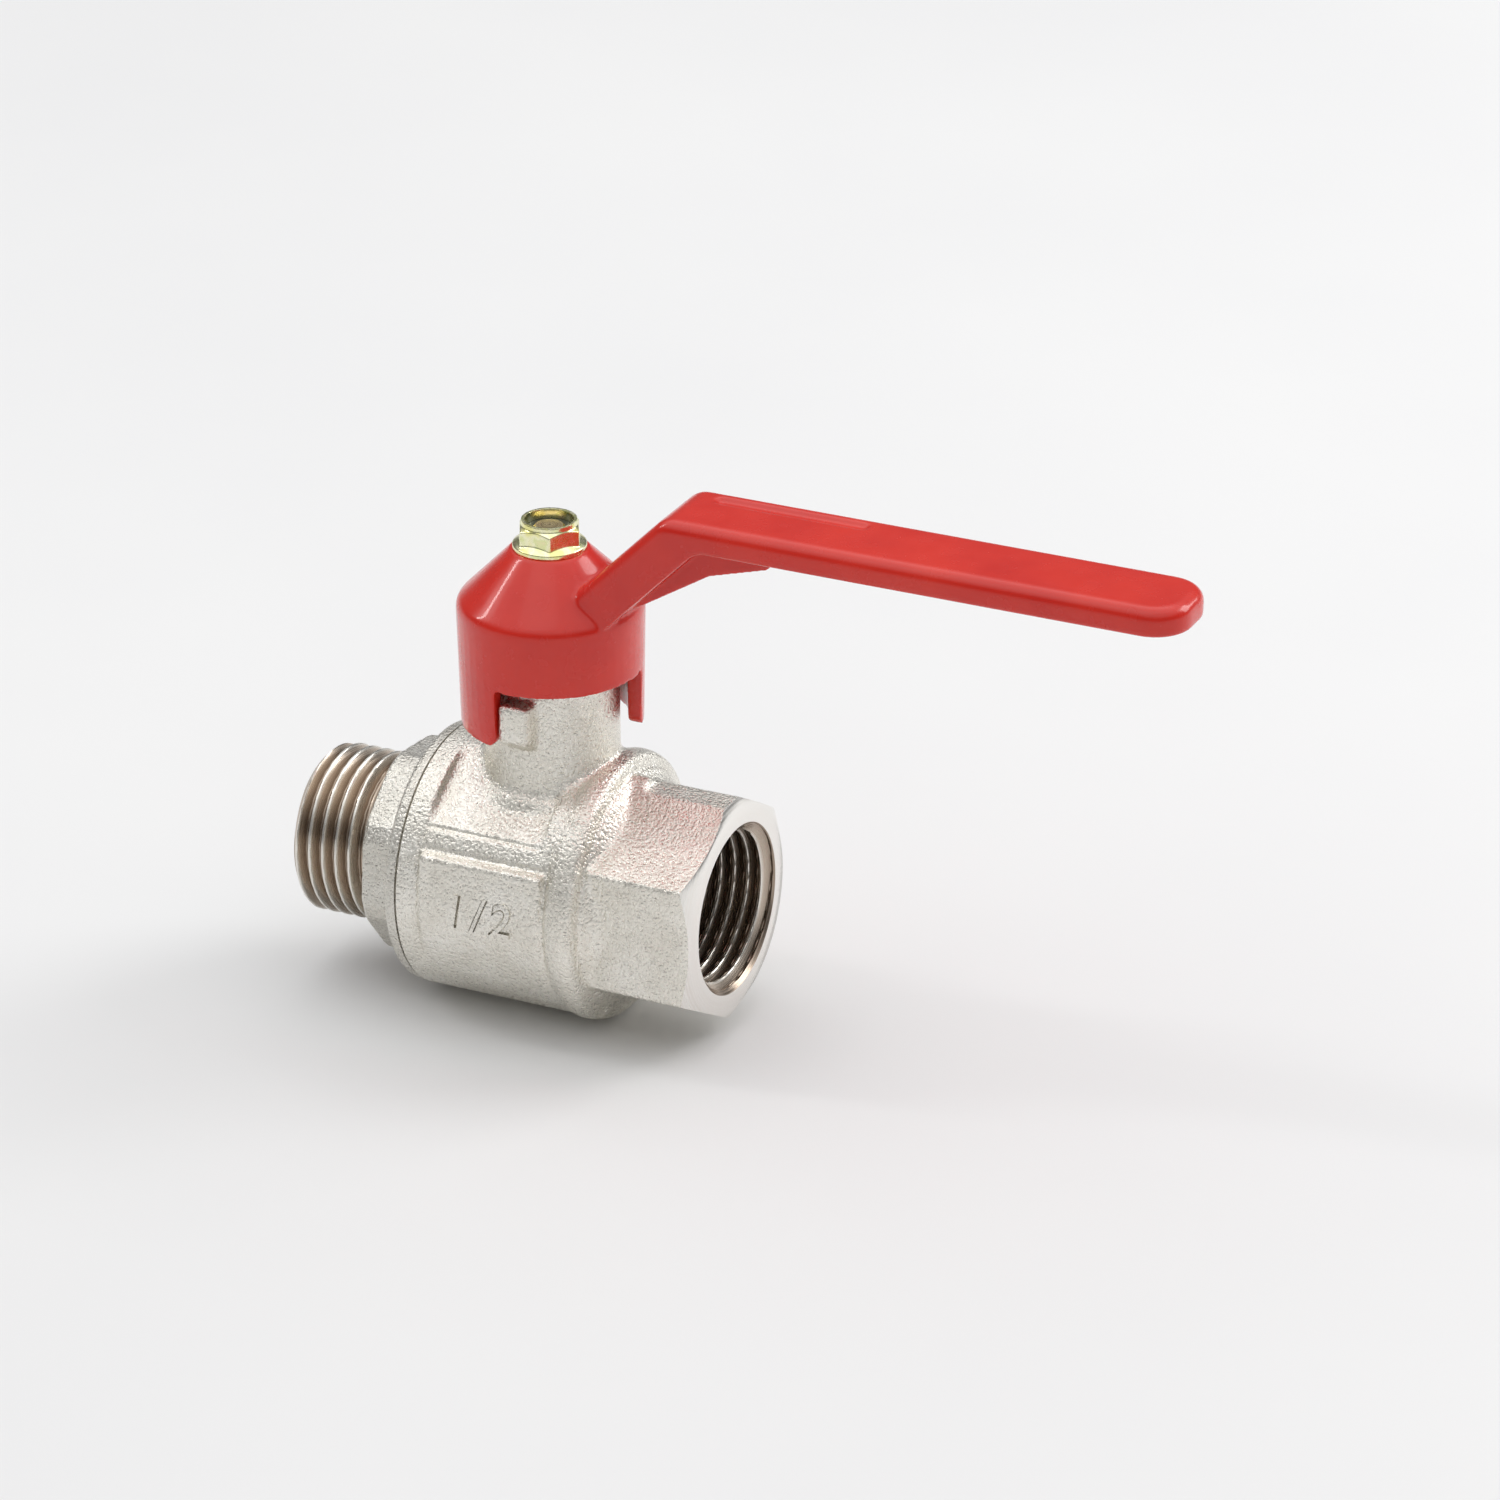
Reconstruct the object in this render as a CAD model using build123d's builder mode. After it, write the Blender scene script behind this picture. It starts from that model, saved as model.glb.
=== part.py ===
from build123d import *
import os
from math import radians, sin, sqrt, tan

# Half-inch lever ball valve, male by female.
# The pipe runs along X, with the female end at +X. The stem stands along +Z.
# The origin is the centre of the ball, where the pipe axis and the stem axis cross.
# The valve is drawn open: the lever lies along the pipe.

os.makedirs("parts", exist_ok=True)

# ---------------------------------------------------------------- driving dimensions
# G 1/2 pipe thread, both ends
pipe_pitch = 1.814
pipe_major_r = 20.955 / 2
pipe_minor_r = 18.631 / 2
crest_flat = 0.35
root_flat = 0.25

# Passage, ball and seats
bore_r = 7.5
ball_wall = 4.5
slot_width = 4.8
slot_roof = 1.3
seat_width = 3.9
seat_length = 4.0
seat_floor = 0.6325
seat_proud = 0.2
seat_relief = 0.1
cavity_gap = 0.5

# Clearances
seat_gap = 0.1
running = 0.05
thread_play = 0.05
fit_play = 0.1
stop_play = 0.12

# Body, lengths from the ball centre along the pipe
mouth_x = 24.4
seam_x = -13.35
barrel_wall = 2.65
band_length = 2.95
joint_depth = 6.8
joint_step = 1.15
joint_run_out = 0.2
female_depth = 12.2
countersink = 1.3
hex_flats = 26.0
hex_top_flat = 13.9
hex_chamfer_angle = 30.0
hex_chamfer_depth = 6.0
mouth_face_r = 12.7
collar_start = 6.1
collar_valley = 6.5
collar_crest = 8.5
collar_shoulder = 10.3
collar_end = 12.9
collar_dip = 0.15
collar_rise = 0.35
collar_fall = 0.35
collar_blend = 1.7
collar_hollow = -0.3
facet_depth = 1.15
facet_tilt = 58.0
facet_cut = 8.0
facet_end = 4.6
pad_reach = 15.85
pad_top = 7.0
pad_inset = 0.3
pad_length = 16.2

# End adapter
flange_length = 1.75
flange_r_step = 0.15
octagon_length = 4.8
octagon_corner_r = 13.6
octagon_turn = 17.0
octagon_turned_r = 13.2
relief_length = 1.6
male_length = 9.5
nose_chamfer = 0.9
o_groove_length = 1.6
o_joint_section = 1.4
o_ring_squeeze = 0.05
adapter_root_step = 1.0
male_run_out = 0.5
flange_round = 0.8

# Stem and packing
stem_r = 4.0
collar_width = 1.6
collar_lift = 0.6
collar_height = 1.6
washer_height = 0.8
guide_height = 2.5
packing_height = 1.5
packing_width = 1.75
gland_height = 1.5
gland_step = 0.65
gland_thread_length = 7.0
gland_pitch = 1.0
gland_hex_step = 0.4
gland_head_height = 3.2
gland_head_gap = 0.4
gland_groove_depth = 0.45
gland_groove_half = 0.35
gland_corner = 0.5
gland_run_out = 0.3
neck_wall = 1.7
neck_flare = 1.2
flare_share = 0.3
o_stem_section = 1.2
stem_flat_depth = 1.2
stem_thread_r = 2.0
stem_shoulder_drop = 1.0
stem_tip = 0.4
stem_tip_chamfer = 0.35
tang_inset = 1.0
o_groove_slack = 0.3
collar_recess = 0.2

# Stop lugs on the neck
lug_half_width = 2.0
lug_reach = 2.5
lug_face = 4.8
lug_height = 7.2
lug_drop = 1.8

# Lever, heights from the seat on the stem
seat_clearance = 1.75
boss_height = 8.7
boss_wall = 1.6
boss_top_wall = 0.7
skirt_gap = 1.1
skirt_wall = 1.75
skirt_flare = 0.35
skirt_drop = 13.6
window_drop = 6.2
crease_lift = 2.0
roof_wall = 3.0
crease_round = 1.8
strap_width = 11.8
strap_thickness = 3.4
strap_lift = 13.8
strap_end_x = 82.0
strap_round = 1.5
strap_edge = 0.6
end_corner_r = 4.6
arm_start_x = 6.75
arm_depth = 7.8
bend_r = 3.0
web_half_width = 2.0
web_depth = 4.3
web_run = 7.5
web_toe = 2.25
recess_width = 1.7
recess_depth = 0.4
recess_start_x = 20.5
recess_end_x = 40.0
recess_y = 3.0
tab_corner_r = 1.3

# Lever nut
nut_flats = 7.0
nut_flange_inset = 0.25
nut_flange_height = 0.55
nut_height = 3.6
nut_turn = -63.0
nut_crown_r = 3.36
nut_crown_height = 0.6
nut_cup_r = 2.9
nut_cup_depth = 1.9
insert_height = 0.7

# ---------------------------------------------------------------- worked-out sizes
ball_r = bore_r + ball_wall
ball_edge_x = sqrt(ball_r**2 - bore_r**2)
seat_back = ball_edge_x + seat_floor
cavity_r = ball_r + cavity_gap
seat_inner_r = bore_r + seat_relief
seat_r = bore_r + seat_width
joint_r = cavity_r + joint_step
barrel_r = joint_r + barrel_wall
flange_r = barrel_r - flange_r_step
facet_r = barrel_r - facet_depth
pocket_front = seat_back - seat_length + seat_proud
spigot_end_x = seam_x + joint_depth

octagon_x = seam_x - flange_length
relief_x = octagon_x - octagon_length
male_x = relief_x - relief_length
nose_x = male_x - male_length

collar_r = stem_r + collar_width
stem_flats = 2 * (stem_r - stem_flat_depth)
collar_z = ball_r + collar_lift
washer_z = collar_z + collar_height + running
guide_z = washer_z + washer_height
chamber_z = guide_z + guide_height
packing_r = stem_r + packing_width
gland_thread_r = packing_r + gland_step
gland_hex_flats = 2 * (gland_thread_r - gland_hex_step)
gland_z = chamber_z + 2 * packing_height
gland_nut_z = gland_z + gland_height
neck_top_z = gland_nut_z + gland_thread_length - gland_head_gap
head_z = gland_nut_z + gland_thread_length
neck_r = gland_thread_r + neck_wall
lever_seat_z = head_z + gland_head_height + seat_clearance
lever_top_z = lever_seat_z + boss_height

boss_r = stem_r + boss_wall
boss_top_r = stem_r + boss_top_wall
skirt_inner_r = neck_r + skirt_gap
skirt_r = skirt_inner_r + skirt_wall
crease_r = skirt_r + skirt_flare
skirt_bottom_z = lever_seat_z - skirt_drop
window_z = lever_seat_z - window_drop
crease_z = lever_seat_z + crease_lift
lug_top_z = window_z - lug_drop
lug_r = neck_r + lug_reach
strap_z = lever_seat_z + strap_lift
strap_top_z = strap_z + strap_thickness
cone_sum = crease_r + crease_z
nut_flange_r = boss_top_r - nut_flange_inset
nut_top_z = lever_top_z + nut_height
crown_z = nut_top_z - nut_crown_height


def ring_thread(start, end, crest_r, root_r, pitch):
    """Outline points, from start to end, of thread turns drawn as separate rings."""
    turns = int((end - start) / pitch)
    flank = (pitch - crest_flat - root_flat) / 2
    points = []
    for turn in range(turns):
        x = start + turn * pitch
        points.append((x, crest_r))
        points.append((x + crest_flat, crest_r))
        points.append((x + crest_flat + flank, root_r))
        points.append((x + crest_flat + flank + root_flat, root_r))
    points.append((start + turns * pitch, crest_r))
    points.append((end, crest_r))
    return points


# ---------------------------------------------------------------- valve body
# Stop lug on the neck: a tongue, tapered underneath and rounded at the foot
lug_bottom_z = lug_top_z - lug_height
with BuildPart() as stop_lug:
    with BuildSketch(Plane.YZ):
        with BuildLine():
            Polyline(
                (gland_thread_r, lug_top_z),
                (lug_r, lug_top_z),
                (lug_r, lug_top_z - lug_face),
                (gland_thread_r, lug_bottom_z),
                close=True,
            )
        make_face()
    extrude(amount=lug_half_width, both=True)
    with BuildSketch(Plane.XZ):
        with Locations((0, lug_top_z)):
            SlotCenterToCenter(2 * (lug_height - lug_half_width), 2 * lug_half_width, rotation=90)
    extrude(amount=-2 * lug_r, mode=Mode.INTERSECT)

with BuildPart() as valve_body:
    with BuildSketch(Plane.XY):
        with BuildLine():
            Polyline(
                (collar_start, barrel_r),
                (seam_x, barrel_r),
                (seam_x, 0),
                (collar_end, 0),
                (collar_end, hex_flats / 2),
            )
            Line((collar_start, barrel_r), (collar_valley, barrel_r - collar_dip))
            ThreePointArc(
                (collar_valley, barrel_r - collar_dip),
                (collar_crest, barrel_r + collar_rise),
                (collar_shoulder, barrel_r - collar_fall),
            )
            ThreePointArc(
                (collar_shoulder, barrel_r - collar_fall),
                (collar_end - collar_blend, (barrel_r - collar_fall + hex_flats / 2) / 2 + collar_hollow),
                (collar_end, hex_flats / 2),
            )
        make_face()
    revolve(axis=Axis.X)

    # Upper facets beside the neck, one each side
    with BuildSketch(Plane.YZ.offset(seam_x + band_length)):
        with PolarLocations(facet_r + facet_cut / 2, 2, start_angle=facet_tilt,
                            angular_range=180 - 2 * facet_tilt, endpoint=True):
            Rectangle(facet_cut, 3 * barrel_r)
    extrude(amount=facet_end - seam_x - band_length, mode=Mode.SUBTRACT)

    # Flat raised pads on both sides
    pad_bottom = -sqrt(barrel_r**2 - pad_reach**2)
    with BuildSketch(Plane.YZ.offset(seam_x + band_length + pad_inset)):
        with Locations((0, (pad_top + pad_bottom) / 2)):
            Rectangle(2 * pad_reach, pad_top - pad_bottom)
    extrude(amount=pad_length)

    # Wrench hexagon of the female end
    with BuildSketch(Plane.YZ.offset(collar_crest)):
        RegularPolygon(hex_flats / 2, 6, major_radius=False, rotation=30)
    extrude(amount=mouth_x - collar_crest)
    with BuildSketch(Plane.XY):
        chamfer_outer_r = mouth_face_r + hex_chamfer_depth
        with BuildLine():
            Polyline(
                (mouth_x, mouth_face_r),
                (mouth_x, chamfer_outer_r),
                (mouth_x - hex_chamfer_depth * tan(radians(hex_chamfer_angle)), chamfer_outer_r),
                close=True,
            )
        make_face()
    revolve(axis=Axis.X, mode=Mode.SUBTRACT)
    with BuildSketch(Plane.XY.offset(hex_top_flat)):
        with Locations(((collar_end + mouth_x) / 2, 0)):
            Rectangle(mouth_x - collar_end, hex_flats)
    extrude(amount=hex_flats / 2, mode=Mode.SUBTRACT)

    # Neck, flared at the root
    flare_z = facet_r * sin(radians(facet_tilt)) + neck_flare * flare_share
    with BuildSketch(Plane.XZ):
        with BuildLine():
            Polyline(
                (neck_r, flare_z + neck_flare),
                (neck_r, neck_top_z),
                (0, neck_top_z),
                (0, 0),
                (neck_r, 0),
                (neck_r + neck_flare, flare_z - neck_flare),
                (neck_r + neck_flare, flare_z),
            )
            RadiusArc((neck_r + neck_flare, flare_z), (neck_r, flare_z + neck_flare), neck_flare)
        make_face()
    revolve(axis=Axis.Z)

    # Stop lugs
    add(stop_lug.part)
    mirror(stop_lug.part, about=Plane.XZ)

    # Ball cavity, seat pocket, joint thread, passage and female thread
    with BuildSketch(Plane.XY):
        with BuildLine():
            Polyline(
                (seam_x, 0),
                (seam_x, joint_r),
                (spigot_end_x + joint_run_out, joint_r),
                (spigot_end_x + joint_run_out, cavity_r),
                (pocket_front, cavity_r),
                (pocket_front, seat_r),
                (seat_back, seat_r),
                (seat_back, bore_r),
                (mouth_x - female_depth, bore_r),
                *ring_thread(mouth_x - female_depth, mouth_x - countersink, pipe_minor_r,
                             pipe_major_r, pipe_pitch),
                (mouth_x, pipe_minor_r + countersink),
                (mouth_x, 0),
                close=True,
            )
        make_face()
    revolve(axis=Axis.X, mode=Mode.SUBTRACT)

    # Stem bore: collar recess, guide, packing chamber and gland thread
    with BuildSketch(Plane.XZ):
        with BuildLine():
            Polyline(
                (0, bore_r),
                (collar_r + collar_recess, bore_r),
                (collar_r + collar_recess, guide_z),
                (stem_r + running, guide_z),
                (stem_r + running, chamber_z),
                (packing_r, chamber_z),
                (packing_r, gland_nut_z - gland_run_out),
                (gland_thread_r, gland_nut_z - gland_run_out),
                (gland_thread_r, neck_top_z),
                (0, neck_top_z),
                close=True,
            )
        make_face()
    revolve(axis=Axis.Z, mode=Mode.SUBTRACT)
valve_body.part.label = "valve_body"

# ---------------------------------------------------------------- end adapter
with BuildPart() as end_adapter:
    spigot_r = joint_r - thread_play
    groove_r = spigot_r - o_joint_section - o_ring_squeeze
    groove_x = seam_x + o_groove_length
    with BuildSketch(Plane.XY):
        with BuildLine():
            Polyline(
                *ring_thread(nose_x + nose_chamfer, male_x, pipe_major_r, pipe_minor_r, pipe_pitch),
                (male_x + male_run_out, pipe_minor_r),
                (relief_x, pipe_minor_r),
                (relief_x, pipe_minor_r + adapter_root_step),
                (octagon_x, pipe_minor_r + adapter_root_step),
                (octagon_x, flange_r),
                (seam_x, flange_r),
                (seam_x, groove_r),
                (groove_x, groove_r),
                (groove_x, spigot_r),
                (spigot_end_x, spigot_r),
                (spigot_end_x, seat_r),
                (-seat_back, seat_r),
                (-seat_back, bore_r),
                (nose_x, bore_r),
                (nose_x, pipe_major_r - nose_chamfer),
                close=True,
            )
        make_face()
    revolve(axis=Axis.X)
    with BuildSketch(Plane.YZ.offset(octagon_x)):
        RegularPolygon(octagon_corner_r, 8, rotation=180 - octagon_turn)
        Circle(octagon_turned_r, mode=Mode.INTERSECT)
        Circle((bore_r + pipe_minor_r) / 2, mode=Mode.SUBTRACT)
    extrude(amount=-octagon_length)
    flange_rim = end_adapter.edges().filter_by(GeomType.CIRCLE).filter_by(
        lambda e: abs(e.center().X - octagon_x) < 0.01 and abs(e.radius - flange_r) < 0.01
    )
    fillet(flange_rim, flange_round)
end_adapter.part.label = "end_adapter"

# ---------------------------------------------------------------- joint o-ring
with BuildPart() as joint_o_ring:
    section_r = o_joint_section / 2
    with BuildSketch(Plane.XY):
        with Locations((seam_x + o_groove_length / 2, joint_r - thread_play - section_r)):
            Circle(section_r)
    revolve(axis=Axis.X)
joint_o_ring.part.label = "joint_o_ring"

# ---------------------------------------------------------------- ball
with BuildPart() as ball:
    Sphere(ball_r)
    with BuildSketch(Plane.YZ.offset(-ball_r)):
        Circle(bore_r)
    extrude(amount=2 * ball_r, mode=Mode.SUBTRACT)
    with BuildSketch(Plane.XY.offset(bore_r + slot_roof)):
        Rectangle(slot_width, 2 * ball_r)
    extrude(amount=ball_r, mode=Mode.SUBTRACT)
ball.part.label = "ball"


# ---------------------------------------------------------------- seat rings
with BuildPart() as seat_ring_inlet:
    with BuildSketch(Plane.XY):
        with Locations((-seat_back + seat_length / 2, (seat_inner_r + seat_r) / 2)):
            Rectangle(seat_length, seat_r - seat_inner_r)
    revolve(axis=Axis.X)
    Sphere(ball_r + seat_gap, mode=Mode.SUBTRACT)
seat_ring_inlet.part.label = "seat_ring_inlet"

with BuildPart() as seat_ring_outlet:
    mirror(seat_ring_inlet.part, about=Plane.YZ)
seat_ring_outlet.part.label = "seat_ring_outlet"

# ---------------------------------------------------------------- stem
o_ring_heights = [
    gland_nut_z + 0.25 * gland_thread_length,
    gland_nut_z + 0.75 * gland_thread_length,
]
o_stem_groove_r = stem_r - o_stem_section
o_groove_height = o_stem_section + o_groove_slack

with BuildPart() as stem:
    tang_z = bore_r + slot_roof + fit_play
    with BuildSketch(Plane.XY.offset(tang_z)):
        Rectangle(slot_width - 2 * fit_play, 2 * (collar_r - tang_inset))
    extrude(amount=collar_z - tang_z)
    with BuildSketch(Plane.XY.offset(collar_z)):
        Circle(collar_r)
    extrude(amount=collar_height)
    with BuildSketch(Plane.XY.offset(collar_z + collar_height)):
        Circle(stem_r)
    extrude(amount=lever_seat_z - collar_z - collar_height)
    with BuildSketch(Plane.XY.offset(lever_seat_z)):
        Circle(stem_r)
        Rectangle(2 * stem_r, stem_flats, mode=Mode.INTERSECT)
    extrude(amount=boss_height - stem_shoulder_drop)
    with BuildSketch(Plane.XY.offset(lever_top_z - stem_shoulder_drop)):
        Circle(stem_thread_r)
    extrude(amount=stem_shoulder_drop + nut_height - nut_cup_depth + insert_height + stem_tip)
    for height in o_ring_heights:
        with BuildSketch(Plane.XY.offset(height - o_groove_height / 2)):
            Circle(packing_r)
            Circle(o_stem_groove_r, mode=Mode.SUBTRACT)
        extrude(amount=o_groove_height, mode=Mode.SUBTRACT)
    chamfer(stem.edges().group_by(Axis.Z)[-1], stem_tip_chamfer)
stem.part.label = "stem"


def stem_o_ring(label, height):
    """Rubber ring in a groove of the stem."""
    section_r = o_stem_section / 2
    with BuildPart() as ring:
        with BuildSketch(Plane.XZ):
            with Locations((stem_r - section_r, height)):
                Circle(section_r)
        revolve(axis=Axis.Z)
    ring.part.label = label
    return ring.part


stem_o_ring_lower = stem_o_ring("stem_o_ring_lower", o_ring_heights[0])
stem_o_ring_upper = stem_o_ring("stem_o_ring_upper", o_ring_heights[1])


def flat_ring(label, bottom_z, height, outer_r):
    """Plain ring round the stem, with the stem's running clearance."""
    with BuildPart() as ring:
        with BuildSketch(Plane.XY.offset(bottom_z)):
            Circle(outer_r)
            Circle(stem_r + running, mode=Mode.SUBTRACT)
        extrude(amount=height)
    ring.part.label = label
    return ring.part


thrust_washer = flat_ring("thrust_washer", washer_z, washer_height, collar_r)
packing_ring_lower = flat_ring("packing_ring_lower", chamber_z, packing_height, packing_r)
packing_ring_upper = flat_ring(
    "packing_ring_upper", chamber_z + packing_height, packing_height, packing_r
)
gland_ring = flat_ring("gland_ring", gland_z, gland_height, packing_r)

# ---------------------------------------------------------------- packing nut
with BuildPart() as packing_nut:
    nut_thread_r = gland_thread_r - thread_play
    with BuildSketch(Plane.XY.offset(gland_nut_z)):
        Circle(nut_thread_r)
    extrude(amount=gland_thread_length)
    with BuildSketch(Plane.XY.offset(head_z)):
        RegularPolygon(gland_hex_flats / 2, 6, major_radius=False)
    extrude(amount=gland_head_height)
    groove_count = int(gland_thread_length / gland_pitch) - 1
    for turn in range(groove_count):
        middle_z = gland_nut_z + (turn + 1) * gland_pitch
        with BuildSketch(Plane.XZ):
            with BuildLine():
                Polyline(
                    (nut_thread_r - gland_groove_depth, middle_z),
                    (nut_thread_r + thread_play, middle_z - gland_groove_half),
                    (nut_thread_r + thread_play, middle_z + gland_groove_half),
                    close=True,
                )
            make_face()
        revolve(axis=Axis.Z, mode=Mode.SUBTRACT)
    with BuildSketch(Plane.XY.offset(gland_nut_z)):
        Circle(stem_r + running)
    extrude(amount=gland_thread_length + gland_head_height, mode=Mode.SUBTRACT)
    chamfer(packing_nut.edges().group_by(Axis.Z)[-1].filter_by(GeomType.LINE), gland_corner)
packing_nut.part.label = "packing_nut"

# ---------------------------------------------------------------- lever
arm_top = cone_sum - 2 * arm_start_x
bend_top_x = strap_top_z - arm_top
bend_low_x = strap_z - arm_top + arm_depth
arm_root_x = 1.0
arm_low_x = boss_r + 1.0
stop_edge = lug_half_width + stop_play

with BuildPart() as lever_handle:
    # Strap: the arm climbs at 45 degrees from the hub and bends level
    with BuildSketch(Plane.XZ.offset(-strap_width / 2)):
        with BuildLine():
            Polyline(
                (arm_root_x, arm_top + arm_root_x),
                (bend_top_x, strap_top_z),
                (strap_end_x, strap_top_z),
                (strap_end_x, strap_z),
                (bend_low_x, strap_z),
                (arm_low_x, arm_top - arm_depth + arm_low_x),
                (arm_root_x, arm_top - arm_depth + arm_low_x),
                close=True,
            )
        make_face()
    extrude(amount=strap_width)
    fillet(lever_handle.edges().filter_by(Axis.Z).sort_by(Axis.X)[-2:], end_corner_r)
    bends = lever_handle.edges().filter_by(Axis.Y).filter_by(
        lambda e: abs(e.center().X - bend_top_x) < 0.1 or abs(e.center().X - bend_low_x) < 0.1
    )
    fillet(bends, bend_r)
    fillet(lever_handle.faces().sort_by(Axis.Z)[-1].edges(), strap_round)
    strap_under = lever_handle.faces().filter_by(Axis.Z).sort_by(Axis.Z)[1]
    fillet(strap_under.edges().sort_by(Axis.X)[1:], strap_edge)

    # Rib under the bend
    with BuildSketch(Plane.XZ.offset(-web_half_width)):
        with BuildLine():
            Polyline(
                (crease_r - skirt_wall, crease_z),
                (bend_low_x, strap_z - web_depth),
                (bend_low_x + web_run, strap_z - web_depth / 2),
                (bend_low_x + web_run + web_toe, strap_z + strap_edge),
                (bend_low_x, strap_z + strap_edge),
                (crease_r - skirt_wall, arm_top - arm_depth + crease_r),
                close=True,
            )
        make_face()
    extrude(amount=2 * web_half_width)

    # Hub: cone over a skirt
    with BuildSketch(Plane.XZ):
        with BuildLine():
            FilletPolyline(
                (boss_top_r, lever_top_z),
                (crease_r, crease_z),
                (skirt_r, skirt_bottom_z),
                radius=crease_round,
            )
            Polyline(
                (skirt_r, skirt_bottom_z),
                (0, skirt_bottom_z),
                (0, lever_top_z),
                (boss_top_r, lever_top_z),
            )
        make_face()
    revolve(axis=Axis.Z)

    # Hollow under the roof, with a boss round the stem
    roof_sum = cone_sum - roof_wall * sqrt(2)
    with BuildSketch(Plane.XZ):
        with BuildLine():
            Polyline(
                (0, skirt_bottom_z),
                (skirt_inner_r, skirt_bottom_z),
                (skirt_inner_r, roof_sum - skirt_inner_r),
                (boss_r, roof_sum - boss_r),
                (boss_r, lever_seat_z),
                (0, lever_seat_z),
                close=True,
            )
        make_face()
    revolve(axis=Axis.Z, mode=Mode.SUBTRACT)

    # Windows front and back: their ends are the stops that meet the lugs
    window_reach = crease_r + skirt_gap
    with BuildSketch(Plane.XY.offset(skirt_bottom_z)):
        for side in (-1, 1):
            middle = (window_reach - stop_edge) / 2
            with Locations((-side * middle, side * middle)):
                Rectangle(window_reach + stop_edge, window_reach + stop_edge)
    extrude(amount=window_z - skirt_bottom_z, mode=Mode.SUBTRACT)
    fillet(lever_handle.edges().group_by(Axis.Z)[0].filter_by(GeomType.LINE), tab_corner_r)

    # Two-flat hole for the stem
    with BuildSketch(Plane.XY.offset(lever_seat_z)):
        Circle(stem_r + fit_play)
        Rectangle(2 * (stem_r + fit_play), stem_flats + 2 * fit_play, mode=Mode.INTERSECT)
    extrude(amount=boss_height, mode=Mode.SUBTRACT)

    # Shallow slot along the top of the strap
    with BuildSketch(Plane.XY.offset(strap_top_z)):
        with Locations(((recess_start_x + recess_end_x) / 2, recess_y)):
            SlotOverall(recess_end_x - recess_start_x, recess_width)
    extrude(amount=-recess_depth, mode=Mode.SUBTRACT)
lever_handle.part.label = "lever_handle"

# ---------------------------------------------------------------- lever nut
cup_floor_z = nut_top_z - nut_cup_depth
with BuildPart() as lever_nut:
    with BuildSketch(Plane.XY.offset(lever_top_z)):
        RegularPolygon(nut_flats / 2, 6, major_radius=False, rotation=nut_turn)
    extrude(amount=nut_height)
    with BuildSketch(Plane.XZ):
        with BuildLine():
            Polyline(
                (nut_crown_r, nut_top_z),
                (nut_flange_r, nut_top_z),
                (nut_flange_r, crown_z - (nut_flange_r - nut_crown_r) * tan(radians(hex_chamfer_angle))),
                (nut_crown_r, crown_z),
                close=True,
            )
        make_face()
    revolve(axis=Axis.Z, mode=Mode.SUBTRACT)
    with BuildSketch(Plane.XZ):
        with BuildLine():
            Polyline(
                (0, lever_top_z),
                (nut_flange_r, lever_top_z),
                (nut_flange_r, lever_top_z + nut_flange_height),
                (nut_flats / 2, lever_top_z + 2 * nut_flange_height),
                (0, lever_top_z + 2 * nut_flange_height),
                close=True,
            )
        make_face()
    revolve(axis=Axis.Z)
    with BuildSketch(Plane.XY.offset(lever_top_z)):
        Circle(stem_thread_r + thread_play)
    extrude(amount=nut_height, mode=Mode.SUBTRACT)
    with BuildSketch(Plane.XY.offset(cup_floor_z)):
        Circle(nut_cup_r)
    extrude(amount=nut_cup_depth, mode=Mode.SUBTRACT)
lever_nut.part.label = "lever_nut"

with BuildPart() as lock_insert:
    with BuildSketch(Plane.XY.offset(cup_floor_z)):
        Circle(nut_cup_r - thread_play)
        Circle(stem_thread_r + thread_play, mode=Mode.SUBTRACT)
    extrude(amount=insert_height)
lock_insert.part.label = "lock_insert"

# ---------------------------------------------------------------- written pieces
pieces = [
    valve_body.part,
    end_adapter.part,
    joint_o_ring.part,
    ball.part,
    seat_ring_inlet.part,
    seat_ring_outlet.part,
    stem.part,
    stem_o_ring_lower,
    stem_o_ring_upper,
    thrust_washer,
    packing_ring_lower,
    packing_ring_upper,
    gland_ring,
    packing_nut.part,
    lever_handle.part,
    lever_nut.part,
    lock_insert.part,
]
for piece in pieces:
    export_step(piece, f"parts/{piece.label}.step")
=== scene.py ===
from math import acos, atan2, cos, hypot, pi, radians, sin, tan

import bmesh
import bpy
import numpy as np
from mathutils import Matrix, Vector


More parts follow.
